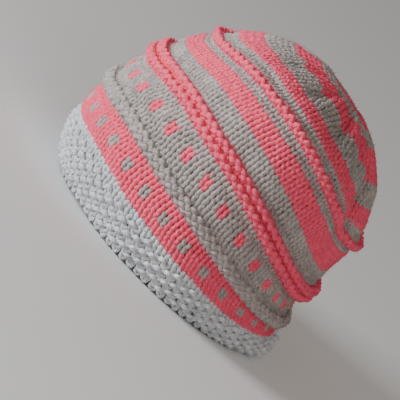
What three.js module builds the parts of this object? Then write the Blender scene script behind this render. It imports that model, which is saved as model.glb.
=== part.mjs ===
// A hand-knitted cap resting on its rim: rings of grey and coral pink knitting, one solid each.
// Millimetres, +Z up. The front of the cap faces -Y and the wearer's left side faces +X.
import * as THREE from 'three';
import { mergeVertices } from 'three/addons/utils/BufferGeometryUtils.js';

// Driving dimensions.
const halfLength = 100;
const halfWidth = 90;
const capHeight = 166;
const wallThickness = 3.8;
const brimExtraThickness = 0.6;
const weltRise = 2.3;
const foldDepth = 6;
const slouchDepth = 4.2;
const crownSlouchDepth = 3.5;
const hollowDepth = 6;
const ringGap = 0.5;

// How finely the rings are cut around the head, in facets for each of the crown's wedges.
const crownWedges = 6;
const facetsPerWedge = 9;
const facetsAround = crownWedges * facetsPerWedge;

// The yarns.
const paleGrey = 0xb9bbbe;
const grey = 0xa39e9a;
const pink = 0xdf7c88;

// Turns rows of values under one line of column names into named records.
function table(columns, rows) {
  return rows.map((row) => Object.fromEntries(columns.map((column, place) => [column, row[place]])));
}

// One row for each line around the cap, from the rim up. Reaches are shares of halfLength at the front
// and back and of halfWidth at the side, heights are shares of capHeight, and raise is a share of
// weltRise. The cap stands taller at the front than at the back, where it slumps over its own brim.
const sections = table(['name', 'front', 'frontUp', 'back', 'backUp', 'side', 'sideUp', 'raise'], [
  ['rim',             0.95,   0,     0.87,  0,     0.917, 0,     0],
  ['brim low',        1.03,   0.066, 0.925, 0.039, 0.956, 0.057, 0],
  ['brim middle',     1.08,   0.133, 0.915, 0.072, 0.975, 0.114, 0],
  ['brim top',        1.092,  0.205, 0.875, 0.103, 0.972, 0.177, 0],
  ['spots low',       1.103,  0.271, 0.843, 0.128, 0.98,  0.249, 0],
  ['grey welt low',   1.096,  0.339, 0.855, 0.151, 0.984, 0.319, 0],
  ['grey welt',       1.09,   0.375, 0.865, 0.175, 0.987, 0.352, 1],
  ['grey welt top',   1.083,  0.412, 0.865, 0.199, 0.989, 0.384, 0],
  ['spots high',      1.068,  0.478, 0.845, 0.244, 0.992, 0.464, 0],
  ['pink welt low',   1.035,  0.543, 0.845, 0.287, 0.987, 0.542, 0],
  ['lower ridge',     1.02,   0.566, 0.852, 0.306, 0.986, 0.562, 1],
  ['welt channel',    1.003,  0.589, 0.855, 0.326, 0.983, 0.582, 0.15],
  ['upper ridge',     0.986,  0.612, 0.855, 0.346, 0.98,  0.603, 1],
  ['pink welt top',   0.968,  0.634, 0.85,  0.366, 0.976, 0.623, 0],
  ['grey top',        0.913,  0.693, 0.839, 0.442, 0.958, 0.721, 0],
  ['pink top',        0.847,  0.756, 0.855, 0.549, 0.922, 0.807, 0],
  ['rope welt low',   0.81,   0.789, 0.858, 0.583, 0.895, 0.849, 0],
  ['rope welt',       0.795,  0.806, 0.855, 0.604, 0.878, 0.872, 1],
  ['rope welt top',   0.776,  0.822, 0.842, 0.625, 0.856, 0.894, 0],
  ['crown grey top',  0.707,  0.868, 0.81,  0.668, 0.8,   0.915, 0],
  ['crown pink top',  0.578,  0.933, 0.74,  0.745, 0.672, 0.946, 0],
  ['wide grey mid',   0.49,   0.966, 0.7,   0.787, 0.56,  0.966, 0],
  ['wide grey top',   0.39,   0.991, 0.65,  0.829, 0.44,  0.984, 0],
  ['upper pink top',  0.175,  1.014, 0.46,  0.925, 0.245, 1,     0],
  ['upper grey top',  0.045,  1.011, 0.35,  0.959, 0.155, 1,     0],
  ['gather',          -0.08,  1,     0.275, 0.975, 0.085, 0.992, 0],
  ['centre',          -0.17,  0.982, 0.215, 0.976, 0.024, 0.979, 0],
]);

// Soft dents, pressed inward: at is the angle round from the front (the wearer's left side is 90),
// level is a place in the table of sections, and depth is a share of foldDepth.
const dents = table(['name', 'at', 'spread', 'level', 'levelSpread', 'depth'], [
  ['slump fold, left',        150,  13,  17.3,  1.8,  1.05],
  ['slump fold, right',       218,  18,  16.4,  1.8,  0.75],
  ['nape hollow, left',       160,  15,  8.2,   1.3,  0.5],
  ['nape hollow, right',      205,  17,  8,     1.4,  0.45],
  ['back of the crown',       172,  20,  14.4,  1.2,  0.4],
  ['right temple hollow',     285,  22,  12,    2.5,  0.3],
  ['brim dip over the brow',  38,   14,  3.1,   0.9,  0.3],
]);

// The crown is drawn into shallow pleats where stitches are knitted together, along one line a wedge.
const firstPleatAngle = 30;
const pleatDepth = 3;
const pleatSpread = 9;
const pleatLevel = 22;
const pleatLevelSpread = 1.7;

// The cap slouches to the wearer's right: the cloth sinks between two places across the cap, given as
// shares of halfWidth. It sinks by slouchDepth at slouchFullRow, by less and less down to slouchLowRow, and
// by crownSlouchDepth from crownSlouchRow up.
const slouchStart = -0.13;
const slouchEnd = 0.44;
const slouchLowRow = 'brim top';
const slouchFullRow = 'rope welt low';
const crownSlouchRow = 'crown grey top';

// A soft hollow in the top, hollowDepth deep, to the right of the gather. Its place and its spread across
// are shares of halfWidth, and its place and spread along are shares of halfLength.
const hollowAcross = -0.3;
const hollowAlong = 0.02;
const hollowSpreadAcross = 0.15;
const hollowSpreadAlong = 0.2;

// One ring for each yarn or stitch, with how many steps its outer and inner walls are cut into. The
// last column is 1 where the ring is thicker by brimExtraThickness.
const rings = table(['name', 'from', 'to', 'colour', 'outer', 'inner', 'extra'], [
  ['seed_stitch_brim',       'rim',              'brim top',       paleGrey,  6, 3, 1],
  ['spotted_pink_band',      'brim top',         'grey welt low',  pink,      4, 2, 0],
  ['grey_welt',              'grey welt low',    'grey welt top',  grey,      4, 1, 0],
  ['spotted_grey_band',      'grey welt top',    'pink welt low',  grey,      4, 2, 0],
  ['pink_double_welt',       'pink welt low',    'pink welt top',  pink,      8, 1, 0],
  ['grey_band',              'pink welt top',    'grey top',       grey,      3, 1, 0],
  ['pink_band',              'grey top',         'pink top',       pink,      3, 1, 0],
  ['narrow_grey_band',       'pink top',         'rope welt low',  grey,      1, 1, 0],
  ['pink_single_welt',       'rope welt low',    'rope welt top',  pink,      4, 1, 0],
  ['crown_grey_ring',        'rope welt top',    'crown grey top', grey,      1, 1, 0],
  ['crown_pink_ring',        'crown grey top',   'crown pink top', pink,      2, 1, 0],
  ['crown_wide_grey_ring',   'crown pink top',   'wide grey top',  grey,      3, 1, 0],
  ['crown_upper_pink_ring',  'wide grey top',    'upper pink top', pink,      2, 1, 0],
  ['crown_upper_grey_ring',  'upper pink top',   'upper grey top', grey,      2, 1, 0],
  ['crown_tip',              'upper grey top',   'centre',         pink,      3, 2, 0],
]);

const radians = THREE.MathUtils.degToRad;
const levelOf = (name) => sections.findIndex((section) => section.name === name);

// A column of the table at any level, as a smooth curve through its rows.
function column(key, level) {
  const last = sections.length - 1;
  const low = Math.min(Math.max(Math.floor(level), 0), last - 1);
  const t = level - low;
  const value = (row) => sections[Math.min(Math.max(row, 0), last)][key];
  const before = low > 0 ? value(low - 1) : 2 * value(low) - value(low + 1);
  const after = low + 2 <= last ? value(low + 2) : 2 * value(low + 1) - value(low);
  const start = value(low);
  const end = value(low + 1);
  const startSlope = (end - before) / 2;
  const endSlope = (after - start) / 2;
  const t2 = t * t;
  const t3 = t2 * t;
  return start * (2 * t3 - 3 * t2 + 1) + startSlope * (t3 - 2 * t2 + t)
    + end * (3 * t2 - 2 * t3) + endSlope * (t3 - t2);
}

// Distance between two angles in degrees, the short way round.
function angleBetween(a, b) {
  return ((a - b) % 360 + 540) % 360 - 180;
}

const bell = (offset, spread) => Math.exp(-0.5 * (offset / spread) ** 2);

// How far the cloth is pressed inward at a place on the cap.
function pressedIn(angle, level) {
  let depth = 0;
  for (const dent of dents) {
    depth += foldDepth * dent.depth * bell(angleBetween(angle, dent.at), dent.spread)
      * bell(level - dent.level, dent.levelSpread);
  }
  for (let wedge = 0; wedge < crownWedges; wedge += 1) {
    const pleatAngle = firstPleatAngle + wedge * 360 / crownWedges;
    depth += pleatDepth * bell(angleBetween(angle, pleatAngle), pleatSpread)
      * bell(level - pleatLevel, pleatLevelSpread);
  }
  return depth;
}

// 0 on the upright sides of the cap, rising to 1 where the crown lies flat.
function flatness(level) {
  return THREE.MathUtils.smoothstep(level, levelOf('rope welt top'), levelOf('wide grey mid'));
}

// How far a point of the cloth sinks, with the slouch and with the hollow.
function sunkIn(point, level) {
  const toTheRight = THREE.MathUtils.smoothstep(-point.x, slouchStart * halfWidth, slouchEnd * halfWidth);
  const upTheSide = THREE.MathUtils.smoothstep(level, levelOf(slouchLowRow), levelOf(slouchFullRow));
  const overTheTop = THREE.MathUtils.smoothstep(level, levelOf(slouchFullRow), levelOf(crownSlouchRow));
  const depth = THREE.MathUtils.lerp(slouchDepth, crownSlouchDepth, overTheTop);
  const hollow = bell(point.x / halfWidth - hollowAcross, hollowSpreadAcross)
    * bell(point.y / halfLength - hollowAlong, hollowSpreadAlong) * flatness(level);
  return depth * toTheRight * upTheSide + hollowDepth * hollow;
}

// The cap's outer cloth without its welts. Each line around it is an ellipse that is tilted and bent to
// pass through its front, side and back points, and then dented and sunk.
function clothPoint(angle, level) {
  const turn = radians(angle);
  const front = halfLength * column('front', level);
  const back = halfLength * column('back', level);
  const side = halfWidth * column('side', level);
  const frontUp = capHeight * column('frontUp', level);
  const backUp = capHeight * column('backUp', level);
  const sideUp = capHeight * column('sideUp', level);
  const along = Math.cos(turn);
  const press = Math.min(pressedIn(angle, level), side / 2);
  const middle = (back - front) / 2;
  const reach = (back + front) / 2;
  const height = sideUp + (frontUp - backUp) / 2 * along + ((frontUp + backUp) / 2 - sideUp) * along ** 2;
  const lowering = flatness(level) * press / 2;
  const point = new THREE.Vector3(side * Math.sin(turn), middle - reach * along, height - lowering);
  const inward = new THREE.Vector3(-Math.sin(turn), along, 0);
  point.addScaledVector(inward, press);
  point.z -= sunkIn(point, level);
  return point;
}

// The outward direction of the cloth at a place.
function clothNormal(angle, level) {
  const step = 0.02;
  const last = sections.length - 1;
  const above = Math.min(level + step, last);
  const below = Math.max(level - step, 0);
  const up = clothPoint(angle, above).sub(clothPoint(angle, below));
  const around = clothPoint(angle + 1, level).sub(clothPoint(angle - 1, level));
  return around.cross(up).normalize();
}

// How far a welt stands out at a level, as a share, with a rounded top and no hollow beside it.
function roundedRaise(level) {
  const raise = Math.min(Math.max(column('raise', level), 0), 1);
  return Math.sin(raise * Math.PI / 2);
}

// A level moved up or down the cloth by a distance in millimetres.
function shiftedLevel(angle, level, distance) {
  const step = 0.05;
  const last = sections.length - 1;
  const stretch = clothPoint(angle, Math.min(level + step, last))
    .distanceTo(clothPoint(angle, Math.max(level - step, 0)));
  const span = Math.min(level + step, last) - Math.max(level - step, 0);
  return level + distance * span / stretch;
}

// One wall of a ring: rows of points around the cap, from its lower edge to its upper edge.
function wallRows(ring, steps, inset) {
  const from = levelOf(ring.from);
  const to = levelOf(ring.to);
  const closed = to === sections.length - 1;
  const rows = [];
  for (let row = 0; row <= steps; row += 1) {
    const points = [];
    for (let facet = 0; facet < facetsAround; facet += 1) {
      const angle = facet * 360 / facetsAround;
      const start = from === 0 ? from : shiftedLevel(angle, from, ringGap / 2);
      const end = closed ? to : shiftedLevel(angle, to, -ringGap / 2);
      const level = start + (end - start) * row / steps;
      const normal = clothNormal(angle, level);
      const point = clothPoint(angle, level);
      if (inset === 0) {
        point.addScaledVector(normal, weltRise * roundedRaise(level));
      } else if (level === 0) {
        normal.setZ(0).normalize();
      }
      points.push(point.addScaledVector(normal, -inset));
    }
    rows.push(points);
  }
  return rows;
}

// Joins rows of points into one closed body with its faces outward.
function ringGeometry(ring) {
  const thickness = wallThickness + ring.extra * brimExtraThickness;
  const outer = wallRows(ring, ring.outer, 0);
  const inner = wallRows(ring, ring.inner, thickness);
  const closed = ring.to === sections[sections.length - 1].name;
  const positions = [];
  const triangle = (a, b, c) => positions.push(...a.toArray(), ...b.toArray(), ...c.toArray());
  const strip = (low, high) => {
    for (let facet = 0; facet < facetsAround; facet += 1) {
      const next = (facet + 1) % facetsAround;
      triangle(low[facet], low[next], high[next]);
      triangle(low[facet], high[next], high[facet]);
    }
  };
  const cap = (row, upward) => {
    const centre = row.reduce((sum, point) => sum.add(point), new THREE.Vector3()).divideScalar(row.length);
    for (let facet = 0; facet < facetsAround; facet += 1) {
      const next = (facet + 1) % facetsAround;
      if (upward) {
        triangle(row[facet], row[next], centre);
      } else {
        triangle(row[next], row[facet], centre);
      }
    }
  };
  for (let row = 0; row < ring.outer; row += 1) {
    strip(outer[row], outer[row + 1]);
  }
  for (let row = ring.inner; row > 0; row -= 1) {
    strip(inner[row], inner[row - 1]);
  }
  strip(inner[0], outer[0]);
  if (closed) {
    cap(outer[ring.outer], true);
    cap(inner[ring.inner], false);
  } else {
    strip(outer[ring.outer], inner[ring.inner]);
  }
  const geometry = new THREE.BufferGeometry();
  geometry.setAttribute('position', new THREE.Float32BufferAttribute(positions, 3));
  return mergeVertices(geometry, 1e-4);
}

function ringMesh(ring) {
  const material = new THREE.MeshStandardMaterial({ color: ring.colour, roughness: 0.95, metalness: 0 });
  const mesh = new THREE.Mesh(ringGeometry(ring), material);
  mesh.name = ring.name;
  return mesh;
}

const cap = new THREE.Group();
for (const ring of rings) {
  cap.add(ringMesh(ring));
}

// The origin is under the middle of the cap, at the level of its rim.
const box = new THREE.Box3().setFromObject(cap);
const middle = box.getCenter(new THREE.Vector3());
cap.position.set(-middle.x, -middle.y, -box.min.z);

export default cap;
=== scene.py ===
"""A hand-knitted cap in grey and coral pink bulky yarn, standing on its rim on a pale floor.

Every ring of the cap is knitted here row by row: one closed yarn runs round the cap for each row, and its
path is that of a knitted loop, so the cloth is made of real stitches, with the purl side inside.
Lengths are in metres, +Z is up, the front of the cap faces -Y and the wearer's left side faces +X.
"""
import math

import bpy
import numpy as np
from mathutils import Matrix, Vector


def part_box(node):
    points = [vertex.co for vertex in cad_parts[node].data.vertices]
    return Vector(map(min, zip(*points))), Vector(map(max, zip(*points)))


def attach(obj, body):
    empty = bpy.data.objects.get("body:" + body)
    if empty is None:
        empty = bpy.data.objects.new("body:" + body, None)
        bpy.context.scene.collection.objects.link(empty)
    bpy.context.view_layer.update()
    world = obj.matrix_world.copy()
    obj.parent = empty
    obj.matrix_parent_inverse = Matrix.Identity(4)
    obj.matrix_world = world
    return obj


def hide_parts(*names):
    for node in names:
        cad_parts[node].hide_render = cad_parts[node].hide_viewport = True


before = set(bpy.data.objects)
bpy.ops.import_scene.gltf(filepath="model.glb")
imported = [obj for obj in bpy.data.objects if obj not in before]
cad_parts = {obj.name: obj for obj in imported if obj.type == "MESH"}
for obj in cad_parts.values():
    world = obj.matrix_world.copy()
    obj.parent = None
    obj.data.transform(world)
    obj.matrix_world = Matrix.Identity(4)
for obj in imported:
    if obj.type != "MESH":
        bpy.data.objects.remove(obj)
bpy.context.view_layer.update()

MM = 0.001

# The cap's driving sizes, as in its solid model.
HALF_LENGTH = 100 * MM
HALF_WIDTH = 90 * MM
CAP_HEIGHT = 166 * MM
WELT_RISE = 2.3 * MM
FOLD_DEPTH = 6 * MM

# One row for each line around the cap, from the rim up: reach and height at the front, at the back and at
# the side, then how far a welt stands out there. Reaches are shares of the half length and half width,
# heights of the cap's height, and the last column of the welt's rise.
SECTIONS = [
    ("rim", 0.95, 0, 0.87, 0, 0.917, 0, 0),
    ("brim low", 1.03, 0.066, 0.925, 0.039, 0.956, 0.057, 0),
    ("brim middle", 1.08, 0.133, 0.915, 0.072, 0.975, 0.114, 0),
    ("brim top", 1.092, 0.205, 0.875, 0.103, 0.972, 0.177, 0),
    ("spots low", 1.103, 0.271, 0.843, 0.128, 0.98, 0.249, 0),
    ("grey welt low", 1.096, 0.339, 0.855, 0.151, 0.984, 0.319, 0),
    ("grey welt", 1.09, 0.375, 0.865, 0.175, 0.987, 0.352, 1),
    ("grey welt top", 1.083, 0.412, 0.865, 0.199, 0.989, 0.384, 0),
    ("spots high", 1.068, 0.478, 0.845, 0.244, 0.992, 0.464, 0),
    ("pink welt low", 1.035, 0.543, 0.845, 0.287, 0.987, 0.542, 0),
    ("lower ridge", 1.02, 0.566, 0.852, 0.306, 0.986, 0.562, 1),
    ("welt channel", 1.003, 0.589, 0.855, 0.326, 0.983, 0.582, 0.15),
    ("upper ridge", 0.986, 0.612, 0.855, 0.346, 0.98, 0.603, 1),
    ("pink welt top", 0.968, 0.634, 0.85, 0.366, 0.976, 0.623, 0),
    ("grey top", 0.913, 0.693, 0.839, 0.442, 0.958, 0.721, 0),
    ("pink top", 0.847, 0.756, 0.855, 0.549, 0.922, 0.807, 0),
    ("rope welt low", 0.81, 0.789, 0.858, 0.583, 0.895, 0.849, 0),
    ("rope welt", 0.795, 0.806, 0.855, 0.604, 0.878, 0.872, 1),
    ("rope welt top", 0.776, 0.822, 0.842, 0.625, 0.856, 0.894, 0),
    ("crown grey top", 0.707, 0.868, 0.81, 0.668, 0.8, 0.915, 0),
    ("crown pink top", 0.578, 0.933, 0.74, 0.745, 0.672, 0.946, 0),
    ("wide grey mid", 0.49, 0.966, 0.7, 0.787, 0.56, 0.966, 0),
    ("wide grey top", 0.39, 0.991, 0.65, 0.829, 0.44, 0.984, 0),
    ("upper pink top", 0.175, 1.014, 0.46, 0.925, 0.245, 1, 0),
    ("upper grey top", 0.045, 1.011, 0.35, 0.959, 0.155, 1, 0),
    ("gather", -0.08, 1, 0.275, 0.975, 0.085, 0.992, 0),
    ("centre", -0.17, 0.982, 0.215, 0.976, 0.024, 0.979, 0),
]
SECTION_NAMES = [row[0] for row in SECTIONS]
SECTION_VALUES = np.array([row[1:] for row in SECTIONS], float)
SIDE_HEIGHT_COLUMN = 5
WELT_COLUMN = 6
LAST_LEVEL = len(SECTIONS) - 1

# Soft dents pressed inward: angle from the front (the wearer's left is 90), its spread, the place in the
# table of sections, its spread, and the depth as a share of FOLD_DEPTH.
DENTS = [
    ("slump fold, left", 150, 13, 17.3, 1.8, 1.05),
    ("slump fold, right", 218, 18, 16.4, 1.8, 0.75),
    ("nape hollow, left", 160, 15, 8.2, 1.3, 0.5),
    ("nape hollow, right", 205, 17, 8, 1.4, 0.45),
    ("back of the crown", 172, 20, 14.4, 1.2, 0.4),
    ("right temple hollow", 285, 22, 12, 2.5, 0.3),
    ("brim dip over the brow", 38, 14, 3.1, 0.9, 0.3),
]
CROWN_WEDGES = 6
FIRST_PLEAT_ANGLE = 30
PLEAT_DEPTH = 3 * MM
PLEAT_SPREAD = 9
PLEAT_LEVEL = 22
PLEAT_LEVEL_SPREAD = 1.7

# The cap slouches to the wearer's right, between two places across it, by one depth at the top of its side
# and another on the crown, where it has a soft hollow. Places and spreads across are shares of the half
# width, and along of the half length.
SLOUCH_DEPTH = 4.2 * MM
CROWN_SLOUCH_DEPTH = 3.5 * MM
SLOUCH_START = -0.13
SLOUCH_END = 0.44
SLOUCH_LOW_LEVEL = SECTION_NAMES.index("brim top")
SLOUCH_FULL_LEVEL = SECTION_NAMES.index("rope welt low")
CROWN_SLOUCH_LEVEL = SECTION_NAMES.index("crown grey top")
HOLLOW_DEPTH = 6 * MM
HOLLOW_ACROSS = -0.3
HOLLOW_ALONG = 0.02
HOLLOW_SPREAD_ACROSS = 0.15
HOLLOW_SPREAD_ALONG = 0.2

# Sharp creases in the cloth, where it is drawn together and where it slumps, and two places where a welt
# lies flatter: angle and its spread, place in the table of sections and its spread, and the depth in
# millimetres.
CREASES = [
    ("gather, by the brow", 47, 4, 21.7, 1.2, 2.6),
    ("gather, near the front", 74, 3.6, 21.5, 1.1, 4.2),
    ("gather, at the left", 101, 4.2, 21.8, 1.1, 4.6),
    ("gather, at the back left", 127, 4, 22, 1.1, 2.8),
    ("slump, up the crown", 152, 4.4, 20.6, 1.6, 4.2),
    ("slump, at the rope welt", 149, 5.5, 17.4, 1.2, 3.6),
    ("gather, at the back", 187, 4, 21.8, 1.1, 3.4),
    ("gather, at the back right", 233, 5, 21.7, 1.2, 3.2),
    ("gather, at the right", 281, 4, 21.8, 1, 3.2),
    ("gather, far front", 332, 4, 21.7, 1.1, 3),
    ("rope welt lies flatter, far front", 326, 17, 17, 0.9, 3.2),
    ("double welt lies flatter, far front", 336, 14, 11, 1.7, 2.6),
]

# Where the bands run higher or lower on the cloth than the table's even lines: angle and its spread, place
# in the table of sections and its spread, and the rise in millimetres, which is less than one row of
# knitting, so each ring stays on its solid. The rim and the crown keep theirs.
BAND_DRIFTS = [
    ("bands, towards the brow", 48, 15, 10, 9, 3.4),
    ("double welt, along the side", 95, 34, 11, 1.8, 1.6),
    ("spotted pink band, to the back", 130, 22, 4, 1.6, -2),
]
DRIFT_FULL_LEVEL = SECTION_NAMES.index("brim top")
DRIFT_LAST_LEVEL = SECTION_NAMES.index("rope welt top")
DRIFT_END_LEVEL = SECTION_NAMES.index("wide grey mid")
HEIGHT_SAMPLES = 240

# The knitting. Each ring lies between two lines of the table of sections. Its rows are spelled from the
# rim up: K a knit row, P a purl row, S a seed stitch row. The ring's yarn comes last.
RINGS = [
    ("seed_stitch_brim", "rim", "brim top", "SSSSSSSK", "pale_grey"),
    ("spotted_pink_band", "brim top", "grey welt low", "KKKKKK", "pink"),
    ("grey_welt", "grey welt low", "grey welt top", "KPP", "grey"),
    ("spotted_grey_band", "grey welt top", "pink welt low", "KKKKKK", "grey"),
    ("pink_double_welt", "pink welt low", "pink welt top", "KPKP", "pink"),
    ("grey_band", "pink welt top", "grey top", "KKKK", "grey"),
    ("pink_band", "grey top", "pink top", "KKKK", "pink"),
    ("narrow_grey_band", "pink top", "rope welt low", "KK", "grey"),
    ("pink_single_welt", "rope welt low", "rope welt top", "KP", "pink"),
    ("crown_grey_ring", "rope welt top", "crown grey top", "KK", "grey"),
    ("crown_pink_ring", "crown grey top", "crown pink top", "KKK", "pink"),
    ("crown_wide_grey_ring", "crown pink top", "wide grey top", "KKKKK", "grey"),
    ("crown_upper_pink_ring", "wide grey top", "upper pink top", "KKKKK", "pink"),
    ("crown_upper_grey_ring", "upper pink top", "upper grey top", "KKK", "grey"),
    ("crown_tip", "upper grey top", "centre", "KKKK", "pink"),
]

# A row's stitches in one of the six wedges: the same all the way up the sides, then fewer up the crown.
SIDE_STITCHES = 14
CROWN_STITCHES = {
    "crown_pink_ring": (13, 12, 11),
    "crown_wide_grey_ring": (11, 10, 9, 9, 8),
    "crown_upper_pink_ring": (7, 7, 6, 5, 5),
    "crown_upper_grey_ring": (4, 4, 3),
    "crown_tip": (3, 2, 1, 1),
}

# The spotted rings: the other yarn and the rows, counted from 0, where every third stitch is in it.
SPOTS = {
    "spotted_pink_band": ("grey", (2, 3)),
    "spotted_grey_band": ("pink", (2, 3)),
}
MOTIF_STITCHES = 3
MOTIF_SPOT = 1
ROPE_WELT = "pink_single_welt"

# A stitch: how far its legs lean in stitches, how tall its loop is in rows, and how deep its yarn weaves: a
# knit stitch's, a purl's bump, and the legs of a loop that shows whole. Then the yarn itself, whose radius
# is a share of a stitch's width, and where its middle runs under the cloth's outer face. The lowest row
# starts clear of the rim, and what would still reach the floor is flattened just above it.
LEG_LEAN = 0.18
BUMP_LEAN = 0.1
LOOP_HEIGHT = 0.82
KNIT_DEPTH = 0.78 * MM
PURL_DEPTH = 1.9 * MM
FULL_LOOP_DEPTH = -0.1 * MM
YARN_SHARE = 0.266
SEED_YARN_SHARE = 0.9
SEED_DEPTH_SHARE = 1.5
BUMP_SWELL = 0.12
YARN_RADIUS_MOST = 1.82 * MM
WELT_YARN_SHARE = 1.12
CLOTH_MIDDLE = -1.9 * MM
STEPS_A_STITCH = 10
YARN_SIDES = 6
RIM_CLEARANCE = 1.9 * MM
FLOOR_GAP = 0.05 * MM

# How much hand knitting varies from stitch to stitch, as a share of each measure. A stitch's place varies
# by a share of its width, a row's by a share of its height, and a stitch's tint by steps of its tone.
REACH_VARIES = 0.08
LEAN_VARIES = 0.12
PLACE_VARIES = 0.04
HEIGHT_VARIES = 0.05
ROW_VARIES = 0.045
THICKNESS_VARIES = 0.05
TINT_VARIES = 0.11

# Rows of a rope welt are not of one height. The cloth sinks in beside every welt, most at a place that is
# counted in rows from the welt's edge, as the spread is.
ROPE_ROW_SHARES = {"K": 0.5, "P": 1.5}
GROOVE_DEPTH = 2.3 * MM
GROOVE_PLACE = 0.8
GROOVE_SPREAD = 0.65

# Loose fibres that stand off the yarn: their size, then how far they slant along the yarn, swing to a
# side, bend at the middle and sag, each as a share of the direction that it is added to. They are a little
# lighter than their stitch, and the sides of each have one place in the wool's pattern, a step on from
# the last point's. None reaches the floor.
FIBRES_A_STITCH = 11
FIBRE_LENGTH = 4.5 * MM
FIBRE_SHORTEST = 0.35
FIBRE_LENGTH_POWER = 1.5
FIBRE_RADIUS = 0.1 * MM
FIBRE_MIDDLE_WIDTH = 0.8
FIBRE_ROOT_DEPTH = 0.2 * MM
FIBRE_SLANT = 0.8
FIBRE_SWING = 0.6
FIBRE_BEND = 0.9
FIBRE_SAG = 0.15
FIBRE_TINT = 0.1
FIBRE_GRAIN_STEP = 0.37
LOWEST_FIBRE = 0.15 * MM
LOWEST_FIBRE_STEP = 0.02 * MM

# A fibre's seven points are three at its root, three at its middle and its tip.
STRAND_SIDES = 3
STRAND_POINTS = 2 * STRAND_SIDES + 1
STRAND_QUADS = np.array([[0, 1, 4, 3], [1, 2, 5, 4], [2, 0, 3, 5]])
STRAND_TRIANGLES = np.array([[0, 2, 1], [3, 4, 6], [4, 5, 6], [5, 3, 6]])

# Slow waves that make the cloth uneven, each with its whole turns round the cap, its climb up it and its
# start. The last two are chance.
SEED = 7
LUMP_HEIGHT = 1.3 * MM
LUMP_TURNS = (3, 4, 6, 7, 9, 11, 13, 17)
LUMP_CLIMB = 0.9
rng = np.random.default_rng(SEED)
LUMP_WAVES = [
    (turns, rng.uniform(-LUMP_CLIMB, LUMP_CLIMB), rng.uniform(0, 2 * math.pi)) for turns in LUMP_TURNS
]

# Where the shape is sampled to measure it: angles round a ring, places in the table of sections, and the
# steps that give the cloth's slopes.
RING_ANGLES = np.arange(0, 360, 5.0)
LEVELS_A_SECTION = 20
LEVEL_STEP = 0.02
ANGLE_STEP = 1
BRIM_ANGLES = np.arange(0, 360, 2.0)
BRIM_LEVELS = np.arange(0, SECTION_NAMES.index("brim top"), 0.05)
LEVEL_TOLERANCE = 1e-9
SHORTEST_LENGTH = 1e-12

# The look of the wool. Twist is the length of yarn, in millimetres, over which the next ply takes a ply's
# place. Grain is how fast the fine fibres change along the yarn, round it and slantwise. Tone is each
# pattern's share in the colour, and relief its share in the bump. The plies' share in the colour is painted
# shade, which darkens the yarn in the grooves between them. Both noises lie round their middle.
PLIES = 3
PLY_TWIST = 3.4
GRAIN_ALONG = 0.55
GRAIN_AROUND = 9.0
GRAIN_SLANT = 0.9
GRAIN_DETAIL = 4.0
GRAIN_ROUGHNESS = 0.65
NOISE_MIDDLE = 0.5
DRIFT_SCALE = 120.0
DRIFT_DETAIL = 4.0
MIDDLE_TONE = 0.5
# Painted shade: the ply wave darkens the colour between the plies, where shade falls in the grooves.
PLY_PAINTED_SHADE = 0.16
GRAIN_TONE = 1.1
DRIFT_TONE = 0.75
PLY_RELIEF = 0.35
GRAIN_RELIEF = 0.9
RELIEF_STRENGTH = 0.7
RELIEF_HEIGHT = 0.6 * MM
SHEEN = 0.22
SHEEN_ROUGHNESS = 0.5
WOOL_SPECULAR = 0.2

# Sockets of a Mix node that mixes colours, which share their names with its other sockets.
MIX_FACTOR = 0
MIX_FIRST = 6
MIX_SECOND = 7
MIX_RESULT = 2


def column(place, level):
    """A column of the table of sections at any levels: a smooth cubic through its rows."""
    values = SECTION_VALUES[:, place]
    padded = np.concatenate([[2 * values[0] - values[1]], values, [2 * values[-1] - values[-2]]])
    level = np.clip(level, 0, LAST_LEVEL)
    low = np.minimum(np.floor(level).astype(int), LAST_LEVEL - 1)
    t = level - low
    start = padded[low + 1]
    end = padded[low + 2]
    start_slope = (end - padded[low]) / 2
    end_slope = (padded[low + 3] - start) / 2
    return (
        start * (2 * t**3 - 3 * t**2 + 1)
        + start_slope * (t**3 - 2 * t**2 + t)
        + end * (3 * t**2 - 2 * t**3)
        + end_slope * (t**3 - t**2)
    )


def bell(offset, spread):
    """A bell curve 1 high: e to the power of minus half the square of offset over spread."""
    return np.exp(-0.5 * (offset / spread) ** 2)


def angle_between(a, b):
    """Difference of two angles in degrees, the short way round."""
    return (a - b + 540) % 360 - 180


def smooth_step(low, high, value):
    """0 up to low, 1 from high, and between them 3 t squared less 2 t cubed, where t is the share gone."""
    t = np.clip((value - low) / (high - low), 0, 1)
    return t * t * (3 - 2 * t)


def pressed_in(angle, level):
    """How far the cloth is pressed inward: a sum of bells, one for each dent and each crown pleat."""
    depth = np.zeros(np.broadcast(angle, level).shape)
    for _, at, spread, dent_level, level_spread, share in DENTS:
        across = bell(angle_between(angle, at), spread)
        depth += FOLD_DEPTH * share * across * bell(level - dent_level, level_spread)
    for wedge in range(CROWN_WEDGES):
        pleat = FIRST_PLEAT_ANGLE + wedge * 360 / CROWN_WEDGES
        across = bell(angle_between(angle, pleat), PLEAT_SPREAD)
        depth += PLEAT_DEPTH * across * bell(level - PLEAT_LEVEL, PLEAT_LEVEL_SPREAD)
    return depth


def flatness(level):
    """0 on the upright sides of the cap, rising to 1 where the crown lies flat."""
    return smooth_step(SECTION_NAMES.index("rope welt top"), SECTION_NAMES.index("wide grey mid"), level)


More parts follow.
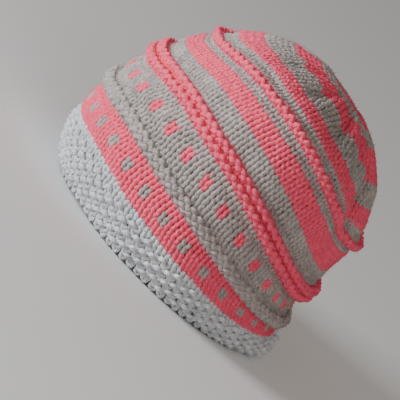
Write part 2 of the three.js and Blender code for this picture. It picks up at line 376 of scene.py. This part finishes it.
def sunk_in(x, y, level):
    """How far the cloth sinks: the slouch in smooth steps across the cap and up it, and a bell's hollow."""
    to_the_right = smooth_step(SLOUCH_START, SLOUCH_END, -x / HALF_WIDTH)
    up_the_side = smooth_step(SLOUCH_LOW_LEVEL, SLOUCH_FULL_LEVEL, level)
    over_the_top = smooth_step(SLOUCH_FULL_LEVEL, CROWN_SLOUCH_LEVEL, level)
    depth = SLOUCH_DEPTH + (CROWN_SLOUCH_DEPTH - SLOUCH_DEPTH) * over_the_top
    hollow = bell(x / HALF_WIDTH - HOLLOW_ACROSS, HOLLOW_SPREAD_ACROSS)
    hollow = hollow * bell(y / HALF_LENGTH - HOLLOW_ALONG, HOLLOW_SPREAD_ALONG) * flatness(level)
    return depth * to_the_right * up_the_side + HOLLOW_DEPTH * hollow


def cloth_point(angle, level):
    """The cap's outer cloth without welts: each line round it is an ellipse bent through its own front,
    side and back points, then dented and sunk."""
    turn = np.radians(angle)
    front, front_up, back, back_up, side, side_up = (column(place, level) for place in range(WELT_COLUMN))
    side = HALF_WIDTH * side
    along = np.cos(turn)
    press = np.minimum(pressed_in(angle, level), side / 2)
    middle = HALF_LENGTH * (back - front) / 2
    reach = HALF_LENGTH * (back + front) / 2
    height = side_up + (front_up - back_up) / 2 * along + ((front_up + back_up) / 2 - side_up) * along**2
    x = (side - press) * np.sin(turn)
    y = middle - (reach - press) * along
    z = CAP_HEIGHT * height - flatness(level) * press / 2 - sunk_in(x, y, level)
    return np.stack([x, y, z], axis=-1)


def unit(vectors):
    """The vectors at length 1."""
    return vectors / np.maximum(np.linalg.norm(vectors, axis=-1, keepdims=True), SHORTEST_LENGTH)


def cloth_normal(angle, level):
    """The outward direction of the cloth, from its slopes round the cap and up it."""
    above = cloth_point(angle, np.minimum(level + LEVEL_STEP, LAST_LEVEL))
    below = cloth_point(angle, np.maximum(level - LEVEL_STEP, 0))
    around = cloth_point(angle + ANGLE_STEP, level) - cloth_point(angle - ANGLE_STEP, level)
    return unit(np.cross(around, above - below))


def welt_rise(level):
    """How far a welt stands out: its rise times the sine of a quarter turn times the table's share."""
    raise_share = np.clip(column(WELT_COLUMN, level), 0, 1)
    return WELT_RISE * np.sin(raise_share * math.pi / 2)


HEIGHT_LEVELS = np.linspace(0, SECTION_NAMES.index("upper pink top"), HEIGHT_SAMPLES)
SIDE_HEIGHTS = CAP_HEIGHT * column(SIDE_HEIGHT_COLUMN, HEIGHT_LEVELS)


def drifted(angle, level):
    """The level where a row's point lies: a sum of bells gives its rise along the cloth, which fades out
    towards the rim and on the crown, and the heights of the cap's side turn that into levels."""
    rise = np.zeros(np.broadcast(angle, level).shape)
    for _, at, spread, drift_level, level_spread, amount in BAND_DRIFTS:
        across = bell(angle_between(angle, at), spread)
        rise += amount * MM * across * bell(level - drift_level, level_spread)
    rise *= smooth_step(0, DRIFT_FULL_LEVEL, level)
    rise *= 1 - smooth_step(DRIFT_LAST_LEVEL, DRIFT_END_LEVEL, level)
    height = np.interp(level, HEIGHT_LEVELS, SIDE_HEIGHTS)
    plain = np.interp(height, SIDE_HEIGHTS, HEIGHT_LEVELS)
    return level + np.interp(height + rise, SIDE_HEIGHTS, HEIGHT_LEVELS) - plain


def lumps(angle, level):
    """Soft unevenness of hand-knitted cloth, from -1 to 1: the mean of slow sine waves."""
    total = np.zeros(np.broadcast(angle, level).shape)
    for turns, climb, phase in LUMP_WAVES:
        total += np.sin(np.radians(angle) * turns + level * climb + phase)
    return total / len(LUMP_WAVES)


def row_levels():
    """Row counts from the rim and the levels of the cloth where they lie. The rows share each ring's arc
    length evenly, but for the rope welt's, and the first row starts clear of the rim."""
    levels = np.linspace(0, LAST_LEVEL, LAST_LEVEL * LEVELS_A_SECTION + 1)
    points = cloth_point(RING_ANGLES[None, :], levels[:, None])
    steps = np.linalg.norm(np.diff(points, axis=0), axis=-1).mean(axis=1)
    arc = np.concatenate([[0], np.cumsum(steps)])
    counts = np.zeros(len(levels))
    first_row = 0
    for name, low_name, high_name, rows, *_ in RINGS:
        low = SECTION_NAMES.index(low_name)
        high = SECTION_NAMES.index(high_name)
        inside = (levels >= low - LEVEL_TOLERANCE) & (levels <= high + LEVEL_TOLERANCE)
        start_arc = np.interp(low, levels, arc)
        end_arc = np.interp(high, levels, arc)
        row_edges = first_row + np.arange(len(rows) + 1.0)
        if low == 0:
            start_arc = RIM_CLEARANCE
            row_edges[0] = 0.5 - LOOP_HEIGHT
        heights = np.diff(row_edges)
        if name == ROPE_WELT:
            heights = np.array([ROPE_ROW_SHARES[kind] for kind in rows])
        shares = np.concatenate([[0], np.cumsum(heights)]) / heights.sum()
        counts[inside] = np.interp((arc[inside] - start_arc) / (end_arc - start_arc), shares, row_edges)
        first_row += len(rows)
    return counts, levels


def welt_edges():
    """Row counts of the lower and upper edges of every ring that is a welt."""
    edges = []
    first_row = 0
    for name, _, _, rows, *_ in RINGS:
        if "welt" in name:
            edges += [first_row, first_row + len(rows)]
        first_row += len(rows)
    return edges


ROW_COUNTS, ROW_LEVELS = row_levels()
WELT_EDGES = welt_edges()

# The solid's origin is under the middle of its box, so the table's own middle moves there.
BRIM_LOW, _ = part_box("seed_stitch_brim")
brim_front = cloth_point(BRIM_ANGLES[None, :], BRIM_LEVELS[:, None])[..., 1].min()
SHIFT = np.array([0, BRIM_LOW.y - brim_front, 0])


def stitch_signs(kind, row_number, stitches):
    """1 for a knit stitch and -1 for a purl; seed stitch alternates both ways."""
    if kind == "K":
        return np.ones(stitches)
    if kind == "P":
        return -np.ones(stitches)
    return np.where((np.arange(stitches) + row_number) % 2 == 0, 1.0, -1.0)


def yarn_path(kind, next_kind, row_number, stitches):
    """One row of knitting as a closed path round the cap. Along the row, in stitches s, the yarn leans by
    sin 4 pi s and climbs by cos 2 pi s, so a loop's head is at a whole s and its foot at a half. The legs
    of a knit stitch are in front and its foot behind; a purl's are the other way round, and it brings the
    head of the stitch under it to the front as well. Welts, grooves beside them, creases and lumps move
    the yarn off the cloth's middle. Gives the path, the cloth's direction, the yarn's radius and the stitch
    that each point belongs to."""
    s = np.arange(stitches * STEPS_A_STITCH) / STEPS_A_STITCH
    whole = np.floor(s).astype(int)
    nearest = np.floor(s + 0.5).astype(int) % stitches
    blend = smooth_step(0, 1, s - whole)

    def eased(values):
        return values[whole % stitches] * (1 - blend) + values[(whole + 1) % stitches] * blend

    own = stitch_signs(kind, row_number, stitches)
    above = stitch_signs(next_kind, row_number + 1, stitches)
    depth_share = SEED_DEPTH_SHARE if kind == "S" else 1
    leg_reach = np.where((own > 0) & (above < 0), FULL_LOOP_DEPTH, KNIT_DEPTH)
    leg_reach = depth_share * (leg_reach * rng.normal(1, REACH_VARIES, stitches))
    foot_reach = np.where(own > 0, KNIT_DEPTH, PURL_DEPTH)
    foot_reach = depth_share * (foot_reach * rng.normal(1, REACH_VARIES, stitches))
    head_reach = np.where(above > 0, KNIT_DEPTH, PURL_DEPTH)
    head_reach = depth_share * (head_reach * rng.normal(1, REACH_VARIES, stitches))
    climb = np.cos(2 * np.pi * s)
    end_weave = -np.where(climb > 0, eased(above * head_reach), eased(own * foot_reach))
    weave = eased(own * leg_reach) * (1 - climb**2) + end_weave * climb**2

    bumps = np.where(climb > 0, eased(above) < 0, eased(own) < 0)
    lean = np.where(bumps, BUMP_LEAN, LEG_LEAN) * eased(rng.normal(1, LEAN_VARIES, stitches))
    along = s + lean * np.sin(4 * np.pi * s) + eased(rng.normal(0, PLACE_VARIES, stitches))
    height = climb * eased(LOOP_HEIGHT * rng.normal(1, HEIGHT_VARIES, stitches))
    height = height + eased(rng.normal(0, ROW_VARIES, stitches))
    angle = FIRST_PLEAT_ANGLE + 360 * (along + 0.5) / stitches
    row_count = row_number + 0.5 + height
    level = np.interp(row_count, ROW_COUNTS, ROW_LEVELS)
    place = drifted(angle, level)
    normal = cloth_normal(angle, place)
    offset = CLOTH_MIDDLE + welt_rise(level) + weave + LUMP_HEIGHT * lumps(angle, level)
    for edge in WELT_EDGES:
        beside = edge - GROOVE_PLACE if edge in WELT_EDGES[::2] else edge + GROOVE_PLACE
        offset -= GROOVE_DEPTH * bell(row_count - beside, GROOVE_SPREAD)
    for _, at, spread, crease_level, level_spread, depth in CREASES:
        across = bell(angle_between(angle, at), spread)
        offset -= depth * MM * across * bell(level - crease_level, level_spread)
    points = cloth_point(angle, place) + SHIFT + normal * offset[:, None]
    middle_level = np.interp(row_number + 0.5, ROW_COUNTS, ROW_LEVELS)
    ring = cloth_point(RING_ANGLES, np.full(len(RING_ANGLES), middle_level))
    girth = np.linalg.norm(ring - np.roll(ring, 1, axis=0), axis=-1).sum()
    radius = min(YARN_SHARE * girth / stitches, YARN_RADIUS_MOST)
    if kind == "P" or next_kind == "P":
        radius *= WELT_YARN_SHARE
    if kind == "S":
        radius *= SEED_YARN_SHARE
    swell = 1 + eased(rng.normal(0, THICKNESS_VARIES, stitches)) + BUMP_SWELL * np.where(bumps, climb**2, 0)
    return points, normal, radius * swell, nearest


def yarn_tube(points, normal, radius):
    """A round yarn along a closed path: rings of YARN_SIDES points, set across the path's direction. Its
    UV map runs in millimetres along the yarn and in turns round it."""
    tangent = unit(np.roll(points, -1, axis=0) - np.roll(points, 1, axis=0))
    across = unit(np.cross(tangent, normal))
    outward = np.cross(across, tangent)
    turn = 2 * np.pi * np.arange(YARN_SIDES) / YARN_SIDES
    rings = (
        points[:, None, :]
        + (radius[:, None] * np.cos(turn))[:, :, None] * outward[:, None, :]
        + (radius[:, None] * np.sin(turn))[:, :, None] * across[:, None, :]
    )
    count = len(points)
    here = np.arange(count)[:, None]
    side = np.arange(YARN_SIDES)[None, :]
    next_ring = (here + 1) % count
    next_side = (side + 1) % YARN_SIDES
    corners = [
        here * YARN_SIDES + side,
        here * YARN_SIDES + next_side,
        next_ring * YARN_SIDES + next_side,
        next_ring * YARN_SIDES + side,
    ]
    faces = np.stack([np.broadcast_to(corner, (count, YARN_SIDES)) for corner in corners], axis=-1)
    length = np.linalg.norm(np.roll(points, -1, axis=0) - points, axis=-1)
    travelled = np.concatenate([[0], np.cumsum(length)]) / MM
    u = np.stack([travelled[:-1], travelled[:-1], travelled[1:], travelled[1:]], axis=-1)
    v = np.stack([side[0], side[0] + 1, side[0] + 1, side[0]], axis=-1) / YARN_SIDES
    uv = np.stack(np.broadcast_arrays(u[:, None, :], v[None]), axis=-1)
    return rings.reshape(-1, 3), faces.reshape(-1, 4), uv.reshape(-1, 4, 2)


def yarn_fibres(points, vertices, count):
    """Loose fibres on a yarn. Each is a thin three-sided strand with a pointed tip. It leaves the yarn
    slantwise, bends at its middle, and is as long as chance gives it. The points are the yarn's middle line
    and the vertices its surface."""
    path_points = len(points)
    place = rng.integers(0, path_points, count)
    side = rng.integers(0, YARN_SIDES, count)
    root = vertices[place * YARN_SIDES + side]
    outward = unit(root - points[place])
    tangent = unit(points[(place + 1) % path_points] - points[place - 1])
    swing = unit(rng.normal(0, 1, (count, 3)))
    slant = FIBRE_SLANT * tangent * rng.choice([-1, 1], (count, 1))
    first = unit(outward + slant + FIBRE_SWING * swing)
    second = unit(first + FIBRE_BEND * unit(rng.normal(0, 1, (count, 3))) + [0, 0, -FIBRE_SAG])
    length = FIBRE_LENGTH * rng.uniform(FIBRE_SHORTEST, 1, (count, 1)) ** FIBRE_LENGTH_POWER
    base = root - FIBRE_ROOT_DEPTH * outward
    middle = base + length / 2 * first
    tip = middle + length / 2 * second
    across = unit(np.cross(first, swing))
    beside = np.cross(first, across)
    rings = []
    for centre, width in ((base, 1), (middle, FIBRE_MIDDLE_WIDTH)):
        for corner in range(STRAND_SIDES):
            turn = 2 * math.pi * corner / STRAND_SIDES
            spoke = math.cos(turn) * across + math.sin(turn) * beside
            rings.append(centre + width * FIBRE_RADIUS * spoke)
    strand = np.stack([*rings, tip], axis=1)
    lowest = LOWEST_FIBRE + LOWEST_FIBRE_STEP * np.arange(STRAND_POINTS)
    strand[..., 2] = np.maximum(strand[..., 2], lowest)
    start = STRAND_POINTS * np.arange(count)[:, None, None]
    quads = (STRAND_QUADS[None] + start).reshape(-1, 4)
    triangles = (STRAND_TRIANGLES[None] + start).reshape(-1, 3)
    return strand.reshape(-1, 3), quads, triangles, place


def mesh_of(name, vertices, quads, triangles, uv, tints, slots):
    """A mesh of four-sided and then three-sided faces, with the yarn's UV map, a tint for each vertex and a
    material slot for each face."""
    mesh = bpy.data.meshes.new(name)
    corners = np.concatenate([quads.ravel(), triangles.ravel()])
    starts = np.concatenate([4 * np.arange(len(quads)), quads.size + 3 * np.arange(len(triangles))])
    mesh.vertices.add(len(vertices))
    mesh.vertices.foreach_set("co", vertices.astype(np.float32).ravel())
    mesh.loops.add(len(corners))
    mesh.loops.foreach_set("vertex_index", corners.astype(np.int32))
    mesh.polygons.add(len(starts))
    mesh.polygons.foreach_set("loop_start", starts.astype(np.int32))
    mesh.polygons.foreach_set("material_index", slots.astype(np.int32))
    mesh.update(calc_edges=True)
    mesh.uv_layers.new(name="yarn").data.foreach_set("uv", uv.astype(np.float32).ravel())
    tint = mesh.attributes.new("tint", "FLOAT", "POINT")
    tint.data.foreach_set("value", tints.astype(np.float32))
    mesh.shade_smooth()
    return mesh


class Signal:
    """A socket that carries a number: arithmetic on it adds Math nodes."""

    def __init__(self, material, socket):
        self.material = material
        self.socket = socket

    def math(self, operation, first, second=0.0):
        return Signal(self.material, self.material.node("Math", {"operation": operation}, [first, second]))

    def __add__(self, other):
        return self.math("ADD", self, other)

    def __radd__(self, other):
        return self.math("ADD", other, self)

    def __sub__(self, other):
        return self.math("SUBTRACT", self, other)

    def __rsub__(self, other):
        return self.math("SUBTRACT", other, self)

    def __mul__(self, other):
        return self.math("MULTIPLY", self, other)

    def __rmul__(self, other):
        return self.math("MULTIPLY", other, self)

    def sine(self):
        return self.math("SINE", self)


class Material:
    """A node material. node() adds any shader node: its type, its settings, then its inputs."""

    def __init__(self, name):
        self.data = bpy.data.materials.new(name)
        self.data.use_nodes = True
        self.tree = self.data.node_tree
        self.tree.nodes.clear()

    def node(self, kind, settings, inputs, output=0):
        made = self.tree.nodes.new("ShaderNode" + kind)
        for key, value in settings.items():
            setattr(made, key, value)
        items = inputs.items() if isinstance(inputs, dict) else enumerate(inputs)
        for key, value in items:
            if isinstance(value, Signal):
                value = value.socket
            if isinstance(value, bpy.types.NodeSocket):
                self.tree.links.new(value, made.inputs[key])
            else:
                made.inputs[key].default_value = value
        return made.outputs[output] if len(made.outputs) else None

    def signal(self, kind, settings, inputs, output=0):
        return Signal(self, self.node(kind, settings, inputs, output))


def yarn_material(name, colour, painted_shade_and_dark_tone, roughness):
    """Wool yarn: plies twisted along the yarn's own UV map, which are a sine of the turns round the yarn
    and the length along it, the grain of fine fibres along them, a colour that drifts from stitch to stitch
    and is painted darker between the plies as their shade, and a soft sheen."""
    material = Material(name)
    uv = material.node("UVMap", {"uv_map": "yarn"}, {})
    along = material.signal("SeparateXYZ", {}, [uv], "X")
    around = material.signal("SeparateXYZ", {}, [uv], "Y")
    ply_wave = (around * (PLIES * 2 * math.pi) + along * (2 * math.pi / PLY_TWIST)).sine()
    slantwise = around * GRAIN_AROUND + along * GRAIN_SLANT
    grain_place = material.node("CombineXYZ", {}, [along * GRAIN_ALONG, slantwise, 0.0])
    grain = material.signal("TexNoise", {}, {
        "Vector": grain_place,
        "Scale": 1.0,
        "Detail": GRAIN_DETAIL,
        "Roughness": GRAIN_ROUGHNESS,
    })
    place = material.node("TexCoord", {}, {}, "Object")
    drift = material.signal("TexNoise", {}, {"Vector": place, "Scale": DRIFT_SCALE, "Detail": DRIFT_DETAIL})
    tint = material.signal("Attribute", {"attribute_name": "tint"}, {}, "Fac")
    # Painted shade and the wool's tone: the ply wave darkens the colour between the plies, as shade would;
    # the grain, the drift and each stitch's tint vary the tone at random. The darker colour is painted
    # shade and the dark end of that tone.
    tone_and_painted_shade = MIDDLE_TONE + ply_wave * PLY_PAINTED_SHADE + (grain - NOISE_MIDDLE) * GRAIN_TONE
    tone_and_painted_shade = tone_and_painted_shade + (drift - NOISE_MIDDLE) * DRIFT_TONE + tint
    colours = {MIX_FACTOR: tone_and_painted_shade, MIX_FIRST: painted_shade_and_dark_tone, MIX_SECOND: colour}
    tone = material.node("Mix", {"data_type": "RGBA", "clamp_factor": True}, colours, MIX_RESULT)
    relief = ply_wave * PLY_RELIEF + grain * GRAIN_RELIEF
    bump = material.node("Bump", {}, {
        "Strength": RELIEF_STRENGTH,
        "Distance": RELIEF_HEIGHT,
        "Height": relief,
    })
    surface = material.node("BsdfPrincipled", {}, {
        "Base Color": tone,
        "Roughness": roughness,
        "Sheen Weight": SHEEN,
        "Sheen Roughness": SHEEN_ROUGHNESS,
        "Sheen Tint": colour,
        "Specular IOR Level": WOOL_SPECULAR,
        "Normal": bump,
    })
    material.node("OutputMaterial", {}, [surface])
    return material.data


# Each wool's colour, then its darker colour, which is painted shade between the plies and the dark end of
# its random tone, then its roughness.
YARNS = {
    "pale_grey": yarn_material(
        "pale_grey_wool", colour=(0.7, 0.715, 0.735, 1), painted_shade_and_dark_tone=(0.38, 0.39, 0.41, 1), roughness=0.9
    ),
    "grey": yarn_material(
        "warm_grey_wool", colour=(0.465, 0.42, 0.4, 1), painted_shade_and_dark_tone=(0.25, 0.215, 0.2, 1), roughness=0.9
    ),
    "pink": yarn_material(
        "coral_pink_wool", colour=(0.9, 0.128, 0.205, 1), painted_shade_and_dark_tone=(0.73, 0.08, 0.14, 1), roughness=0.88
    ),
}


def knit_ring(name, kinds, next_kind, first_row, main):
    """A ring of the cap as its rows of yarn and their loose fibres, in one mesh."""
    counts = CROWN_STITCHES.get(name, [SIDE_STITCHES] * len(kinds))
    second, spots = SPOTS.get(name, (None, ()))
    vertex_sets = []
    quad_sets = []
    triangle_sets = []
    quad_uvs = []
    tint_sets = []
    quad_slots = []
    triangle_slots = []
    vertex_count = 0
    for row, (kind, per_wedge) in enumerate(zip(kinds, counts)):
        above = (kinds + next_kind)[row + 1]
        stitches = per_wedge * CROWN_WEDGES
        points, normal, radius, nearest = yarn_path(kind, above, first_row + row, stitches)
        vertices, faces, uv = yarn_tube(points, normal, radius)
        fibres = yarn_fibres(points, vertices, stitches * FIBRES_A_STITCH)
        strands, strand_quads, strand_triangles, place = fibres
        stitch_tint = rng.normal(0, TINT_VARIES, stitches)
        spotted = (row in spots) & (nearest % MOTIF_STITCHES == MOTIF_SPOT)
        vertex_sets += [vertices, strands]
        quad_sets += [faces + vertex_count, strand_quads + vertex_count + len(vertices)]
        triangle_sets.append(strand_triangles + vertex_count + len(vertices))
        strand_uv = np.stack([place, place * FIBRE_GRAIN_STEP], axis=-1)
        quad_uvs += [uv, np.repeat(strand_uv, STRAND_QUADS.size, axis=0).reshape(-1, 4, 2)]
        strand_tint = stitch_tint[nearest[place]] + FIBRE_TINT
        tint_sets += [np.repeat(stitch_tint[nearest], YARN_SIDES), np.repeat(strand_tint, STRAND_POINTS)]
        quad_slots += [np.repeat(spotted, YARN_SIDES), np.repeat(spotted[place], len(STRAND_QUADS))]
        triangle_slots.append(np.repeat(spotted[place], len(STRAND_TRIANGLES)))
        vertex_count += len(vertices) + len(strands)
    triangles = np.concatenate(triangle_sets)
    uv = np.concatenate([np.concatenate(quad_uvs).reshape(-1, 2), np.zeros((triangles.size, 2))])
    slots = np.concatenate(quad_slots + triangle_slots)
    vertices = np.concatenate(vertex_sets)
    vertices[:, 2] = np.maximum(vertices[:, 2], FLOOR_GAP)
    tints = np.concatenate(tint_sets)
    mesh = mesh_of(name + "_knitting", vertices, np.concatenate(quad_sets), triangles, uv, tints, slots)
    mesh.materials.append(YARNS[main])
    if second:
        mesh.materials.append(YARNS[second])
    piece = bpy.data.objects.new(name + "_knitting", mesh)
    bpy.context.scene.collection.objects.link(piece)
    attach(piece, "root")
    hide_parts(name)


ring_kinds = [kinds for _, _, _, kinds, *_ in RINGS]
rings_first_row = 0
for (ring_name, _, _, kinds, main), kinds_above in zip(RINGS, ring_kinds[1:] + ["K"]):
    knit_ring(ring_name, kinds, kinds_above[0], rings_first_row, main)
    rings_first_row += len(kinds)


# The camera looks at the wearer's left side from a little above the rim's plane, rolled so that the cap
# leans back. Angles are in degrees, the distance in metres and the sensor and a pixel in millimetres.
CAMERA_ELEVATION = 15
CAMERA_ROLL = 45.9
CAMERA_DISTANCE = 3
SENSOR_WIDTH = 36
PICTURE_PIXELS = 400
PIXEL = 0.66
FRAME_WIDTH = PICTURE_PIXELS * PIXEL * MM
AIM = Vector((0, 0, 44.3 * MM))

# The floor reaches far past the picture.
FLOOR_REACH = 14.0
FLOOR_COLOUR = (0.93, 0.935, 0.94, 1)
FLOOR_ROUGHNESS = 0.9
ROOM_COLOUR = (1.0, 0.92, 0.84, 1)
ROOM_STRENGTH = 0.27


def add_camera():
    """A long lens far off, turned about its own axis by the roll."""
    tilt = math.radians(CAMERA_ELEVATION)
    roll = math.radians(CAMERA_ROLL)
    back = Vector((math.cos(tilt), 0, math.sin(tilt)))
    level_right = Vector((0, 1, 0))
    level_up = Vector((-math.sin(tilt), 0, math.cos(tilt)))
    right = math.cos(roll) * level_right + math.sin(roll) * level_up
    up = -math.sin(roll) * level_right + math.cos(roll) * level_up
    camera = bpy.data.cameras.new("camera")
    camera.sensor_width = SENSOR_WIDTH
    camera.lens = camera.sensor_width * CAMERA_DISTANCE / FRAME_WIDTH
    camera.dof.use_dof = False
    holder = bpy.data.objects.new("camera", camera)
    turn = Matrix((right, up, back)).transposed().to_4x4()
    holder.matrix_world = Matrix.Translation(AIM + CAMERA_DISTANCE * back) @ turn
    bpy.context.scene.collection.objects.link(holder)
    bpy.context.scene.camera = holder


def add_floor():
    """A wide pale floor that the rim stands on."""
    corners = [(FLOOR_REACH * x, FLOOR_REACH * y, 0) for x, y in ((-1, -1), (1, -1), (1, 1), (-1, 1))]
    mesh = bpy.data.meshes.new("floor")
    mesh.from_pydata(corners, [], [(0, 1, 2, 3)])
    material = Material("pale_floor")
    finish = {"Base Color": FLOOR_COLOUR, "Roughness": FLOOR_ROUGHNESS}
    surface = material.node("BsdfPrincipled", {}, finish)
    material.node("OutputMaterial", {}, [surface])
    mesh.materials.append(material.data)
    floor = bpy.data.objects.new("floor", mesh)
    bpy.context.scene.collection.objects.link(floor)


def add_light(name, place, size, power, colour):
    """A soft square light that faces the cap."""
    lamp = bpy.data.lights.new(name, "AREA")
    lamp.size = size
    lamp.energy = power
    lamp.color = colour
    holder = bpy.data.objects.new(name, lamp)
    holder.location = place
    holder.rotation_euler = (Vector(place) - AIM).to_track_quat("Z", "Y").to_euler()
    bpy.context.scene.collection.objects.link(holder)


def add_room_light():
    """A dim warm light from all round."""
    world = bpy.data.worlds.new("room")
    world.use_nodes = True
    background = world.node_tree.nodes["Background"]
    background.inputs["Color"].default_value = ROOM_COLOUR
    background.inputs["Strength"].default_value = ROOM_STRENGTH
    bpy.context.scene.world = world


add_camera()
add_floor()
add_light("window", place=(0.72, -1.55, 0.34), size=0.64, power=47, colour=(0.94, 0.975, 1.0))
add_light("fill", place=(1.4, 0.75, 0.6), size=1.3, power=7.5, colour=(1.0, 0.96, 0.92))
add_room_light()
